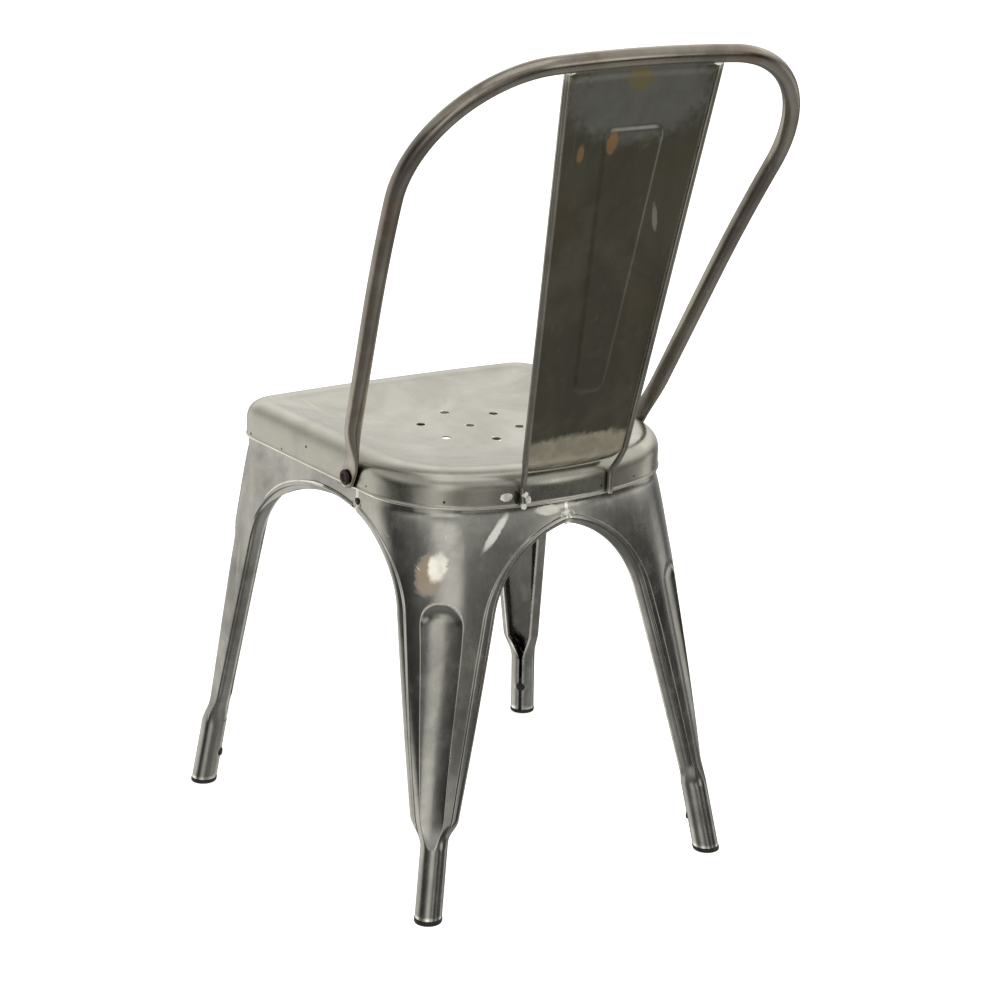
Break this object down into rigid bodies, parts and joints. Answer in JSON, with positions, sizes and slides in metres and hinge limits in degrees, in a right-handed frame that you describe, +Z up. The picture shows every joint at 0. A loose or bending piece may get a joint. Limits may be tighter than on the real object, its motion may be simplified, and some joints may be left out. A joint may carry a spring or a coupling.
{
  "type": "stacking cafe chair",
  "caption": "Armless stacking chair of pressed sheet steel with a dished seat, splayed corner legs joined by arches, a bent tube back hoop and a tapered splat",
  "frame": {"origin": "middle of the chair's bounding box, on the floor", "axes": "+Z up; the chair faces -Y and its back is towards +Y; +X is the sitter's left"},
  "size_m": [0.444, 0.5116, 0.8499],
  "materials": {
    "seat_steel": "bare pressed steel, light warm grey, rubbed, under clear lacquer",
    "leg_steel": "bare pressed steel, drawn along the leg, ground bright at the welds, under clear lacquer",
    "back_steel": "bare steel with dark mill scale tints, under clear lacquer",
    "brace_steel": "bare flat bar, dull",
    "fastener_steel": "zinc plated, dull",
    "bolt_steel": "blackened steel, satin",
    "cap_rubber": "moulded black rubber, matt"
  },
  "bodies": {
    "root": {"seat_pan": "seat_steel", "leg_rear_left": "leg_steel", "leg_rear_right": "leg_steel", "foot_cap_rear_left": "cap_rubber", "foot_cap_rear_right": "cap_rubber", "leg_front_left": "leg_steel", "leg_front_right": "leg_steel", "foot_cap_front_left": "cap_rubber", "foot_cap_front_right": "cap_rubber", "back_hoop": "back_steel", "back_splat": "back_steel", "splat_rod_left": "back_steel", "splat_rod_right": "back_steel", "hoop_bolt_left": "bolt_steel", "hoop_bolt_right": "bolt_steel", "hoop_washer_left": "fastener_steel", "hoop_washer_right": "fastener_steel", "hoop_nut_left": "fastener_steel", "hoop_nut_right": "fastener_steel", "brace_bar_lower": "brace_steel", "brace_bar_upper": "brace_steel", "brace_rivet": "brace_steel"}
  },
  "joints": []
}
